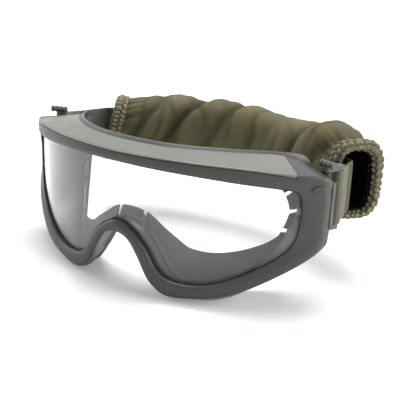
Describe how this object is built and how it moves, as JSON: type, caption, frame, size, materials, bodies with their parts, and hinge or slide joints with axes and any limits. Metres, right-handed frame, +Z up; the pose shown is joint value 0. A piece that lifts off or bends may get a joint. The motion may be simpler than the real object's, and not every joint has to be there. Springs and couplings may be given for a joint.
{
  "type": "safety goggles",
  "caption": "Protective goggles with one clear wraparound lens, a soft face seal, two swinging strap clips and a webbing headband in a cloth sleeve with gathered cuffs.",
  "frame": {"origin": "middle of the bottom of the part's bounding box, on the floor that the lower rims rest on", "axes": "+Z up, +X towards the wearer's left-hand temple as seen in the picture's right, -Y the way the lens looks, the head is on the +Y side of the lens"},
  "size_m": [0.1916, 0.1332, 0.075],
  "materials": {
    "frame_grey": "satin, moulded",
    "cap_grey": "satin, moulded",
    "clear_lens": "clear, glossy",
    "gasket_black": "matt",
    "flange_grey": "matt, soft",
    "foam_black": "open-cell foam, matt",
    "hardware_grey": "satin, moulded",
    "webbing_tan": "woven, elastic",
    "cloth_olive": "plain weave, matt",
    "elastic_black": "knitted, elastic"
  },
  "bodies": {
    "goggles": {"front_frame": "frame_grey", "brow_cap": "cap_grey", "lens": "clear_lens", "lens_gasket": "gasket_black", "face_flange": "flange_grey", "face_foam": "foam_black", "vent_foam_left": "foam_black", "vent_foam_right": "foam_black", "hinge_mount_left": "frame_grey", "hinge_mount_right": "frame_grey", "mount_rivet_left": "frame_grey", "mount_rivet_right": "frame_grey", "hinge_pin_left": "hardware_grey", "hinge_pin_right": "hardware_grey", "strap_run_left": "webbing_tan", "strap_run_right": "webbing_tan", "headband": "webbing_tan", "sleeve": "cloth_olive", "cuff_left": "cloth_olive", "cuff_right": "cloth_olive", "cuff_elastic_left": "elastic_black", "cuff_elastic_right": "elastic_black"},
    "left_clip": {"strap_clip_left": "hardware_grey", "strap_loop_left": "webbing_tan"},
    "right_clip": {"strap_clip_right": "hardware_grey", "strap_loop_right": "webbing_tan"},
    "left_slider": {"band_slider_left": "hardware_grey"},
    "right_slider": {"band_slider_right": "hardware_grey"}
  },
  "joints": [
    {"name": "left_clip_swing", "type": "hinge", "parent": "goggles", "child": "left_clip", "pos_m": [-0.08636, -0.01184, 0.0516], "axis": [0, 0, 1], "range_deg": [-25, 45], "deforming": ["strap_loop_left", "strap_run_left"]},
    {"name": "right_clip_swing", "type": "hinge", "parent": "goggles", "child": "right_clip", "pos_m": [0.08264, -0.01184, 0.0516], "axis": [0, 0, 1], "range_deg": [-45, 25], "deforming": ["strap_loop_right", "strap_run_right"]},
    {"name": "left_slider_shift", "type": "slide", "parent": "goggles", "child": "left_slider", "axis": [0.9903, 0.1392, 0], "range_m": [-0.0035, 0.0035]},
    {"name": "right_slider_shift", "type": "slide", "parent": "goggles", "child": "right_slider", "axis": [0.9613, -0.2756, 0], "range_m": [-0.0035, 0.0035]}
  ]
}
